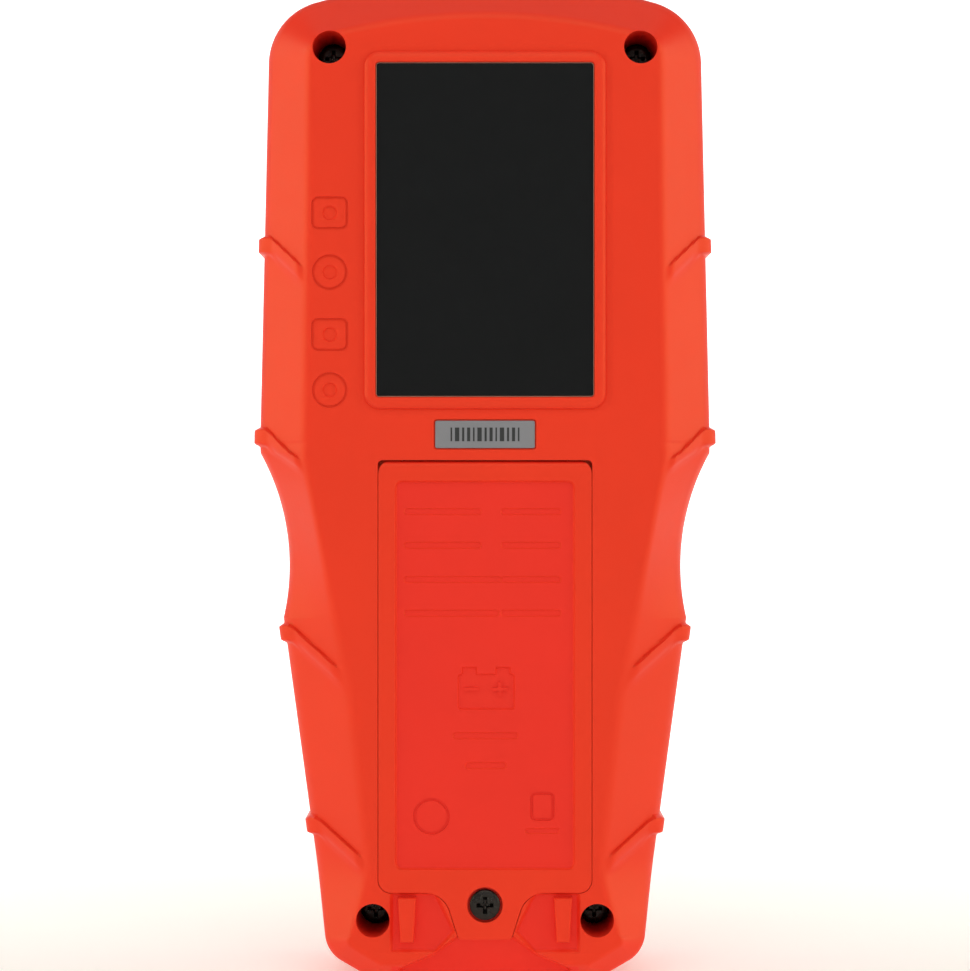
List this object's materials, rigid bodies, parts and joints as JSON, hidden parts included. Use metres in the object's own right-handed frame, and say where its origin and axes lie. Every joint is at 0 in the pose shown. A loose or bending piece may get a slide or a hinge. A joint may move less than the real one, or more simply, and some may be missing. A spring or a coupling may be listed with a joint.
{
  "type": "pinless moisture meter",
  "caption": "Handheld wall scanner with a flat sensing pad and a screwed battery door on its back and a display and keys on its front.",
  "frame": {"origin": "middle of the box round the meter, at the bottom of its foot", "axes": "+Z from the foot to the head, +Y towards the display side, -Y towards the sensing pad and the battery door, +X to the right when the back is looked at"},
  "size_m": [0.0754, 0.035, 0.1628],
  "materials": {
    "orange_shell": "satin",
    "black_rubber": "matte",
    "pad_film": "satin",
    "label_grey": "satin",
    "foam": "matte",
    "black_screw": "satin",
    "plated_steel": "satin",
    "brass": "satin",
    "dark_plastic": "gloss",
    "clear_window": "clear",
    "white_plastic": "matte",
    "display_cell": "satin",
    "diffuser": "matte",
    "pink_rubber": "matte",
    "key_rubber": "matte",
    "switch_black": "matte",
    "pipe_green": "clear",
    "pipe_amber": "clear",
    "pipe_red": "clear",
    "board_green": "satin",
    "small_parts": "satin",
    "ribbon_film": "satin",
    "battery_wrap": "satin",
    "red_wire": "satin",
    "black_wire": "satin"
  },
  "bodies": {
    "meter": {"rear_housing": "orange_shell", "front_housing": "orange_shell", "housing_seal": "black_rubber", "sensor_pad": "pad_film", "label_plate": "label_grey", "door_insert": "brass", "case_screws": "black_screw", "case_inserts": "brass", "front_bezel": "dark_plastic", "display_lens": "clear_window", "lcd_frame": "white_plastic", "lcd_glass": "display_cell", "backlight": "diffuser", "lcd_connector": "pink_rubber", "keypad_mat": "key_rubber", "key_switches": "switch_black", "light_pipe_green": "pipe_green", "light_pipe_amber": "pipe_amber", "light_pipe_red": "pipe_red", "indicator_leds": "white_plastic", "main_board": "board_green", "microcontroller": "switch_black", "board_parts": "small_parts", "piezo_buzzer": "switch_black", "board_screws": "plated_steel", "sensor_board": "board_green", "sensor_shield": "plated_steel", "sensor_ribbon": "ribbon_film", "ribbon_socket": "white_plastic", "battery": "battery_wrap", "battery_terminals": "plated_steel", "battery_clip": "switch_black", "lead_red": "red_wire", "lead_black": "black_wire"},
    "door": {"battery_door": "orange_shell", "door_foam": "foam"},
    "door_fastener": {"door_screw": "black_screw"},
    "power_key": {"power_button": "key_rubber"},
    "mode_key": {"mode_button": "key_rubber"},
    "alarm_key": {"alarm_button": "key_rubber"},
    "hold_key": {"hold_button": "key_rubber"}
  },
  "joints": [
    {"name": "door_hinge", "type": "hinge", "parent": "meter", "child": "door", "pos_m": [0, -0.0157, 0.083], "axis": [-1, 0, 0], "range_deg": [0, 60]},
    {"name": "door_screw_travel", "type": "slide", "parent": "door", "child": "door_fastener", "axis": [0, -1, 0], "range_m": [0, 0.006]},
    {"name": "power_key_press", "type": "slide", "parent": "meter", "child": "power_key", "axis": [0, -1, 0], "range_m": [0, 0.0008], "stiffness_N_per_m": 1500, "springref_m": -0.0006},
    {"name": "mode_key_press", "type": "slide", "parent": "meter", "child": "mode_key", "axis": [0, -1, 0], "range_m": [0, 0.0008], "stiffness_N_per_m": 1500, "springref_m": -0.0006},
    {"name": "alarm_key_press", "type": "slide", "parent": "meter", "child": "alarm_key", "axis": [0, -1, 0], "range_m": [0, 0.0008], "stiffness_N_per_m": 1500, "springref_m": -0.0006},
    {"name": "hold_key_press", "type": "slide", "parent": "meter", "child": "hold_key", "axis": [0, -1, 0], "range_m": [0, 0.0008], "stiffness_N_per_m": 1500, "springref_m": -0.0006}
  ]
}
